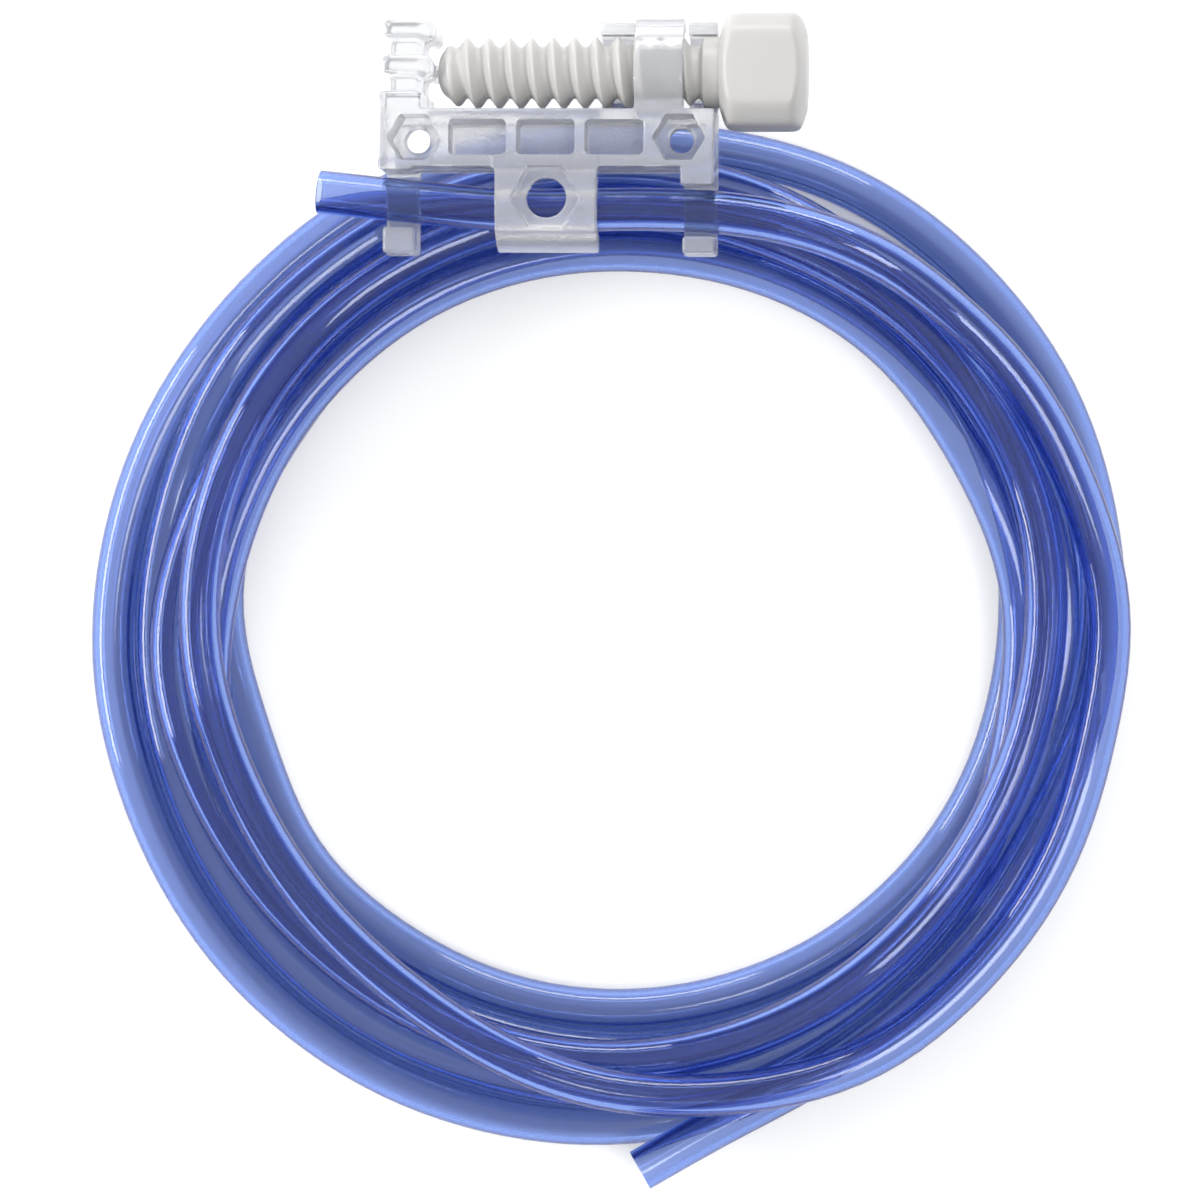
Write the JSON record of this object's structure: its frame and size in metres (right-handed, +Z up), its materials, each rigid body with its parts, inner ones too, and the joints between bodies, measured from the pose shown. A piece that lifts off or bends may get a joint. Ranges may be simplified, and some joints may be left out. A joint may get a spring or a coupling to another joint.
{
  "type": "hose holder",
  "caption": "Coil of soft translucent blue hose, its end snapped into a clear moulded rim clamp with a white square-headed clamping screw.",
  "frame": {"origin": "on the surface that the coil lies on, under the middle of the whole object's box", "axes": "+Z up out of the flat-lying coil, +X from the fixed jaw towards the screw's head, +Y from the coil's middle towards the clamp"},
  "size_m": [0.1466, 0.1643, 0.0311],
  "materials": {
    "clear_plastic": "clear injection moulding, polished edges and fine spark texture on the faces",
    "white_plastic": "satin off-white moulding",
    "blue_hose": "translucent blue soft PVC, smooth"
  },
  "bodies": {
    "holder": {"body_plate": "clear_plastic", "fixed_jaw": "clear_plastic", "boss_front_band": "clear_plastic", "boss_back_shells": "clear_plastic", "hose_tongue": "clear_plastic", "hook_left": "clear_plastic", "hook_right": "clear_plastic", "hose_coil": "blue_hose", "hose_lead": "blue_hose", "hose_lead_end": "blue_hose", "hose_tail": "blue_hose", "hose_tail_end": "blue_hose"},
    "screw_carrier": {"screw_core": "white_plastic"},
    "screw": {"screw_shank": "white_plastic", "screw_thread": "white_plastic", "screw_head": "white_plastic"}
  },
  "joints": [
    {"name": "screw_feed", "type": "slide", "parent": "holder", "child": "screw_carrier", "axis": [0.9953, -0.0104, 0.0958], "range_m": [0, 0.0225]},
    {"name": "screw_turn", "type": "hinge", "parent": "screw_carrier", "child": "screw", "pos_m": [-0.0081, 0.0747, 0.02], "axis": [0.9953, -0.0104, 0.0958], "range_deg": [0, 2701]}
  ],
  "couplings": [
    {"joint": "screw_turn", "follows": "screw_feed", "rad_per_m": 2094.4}
  ]
}
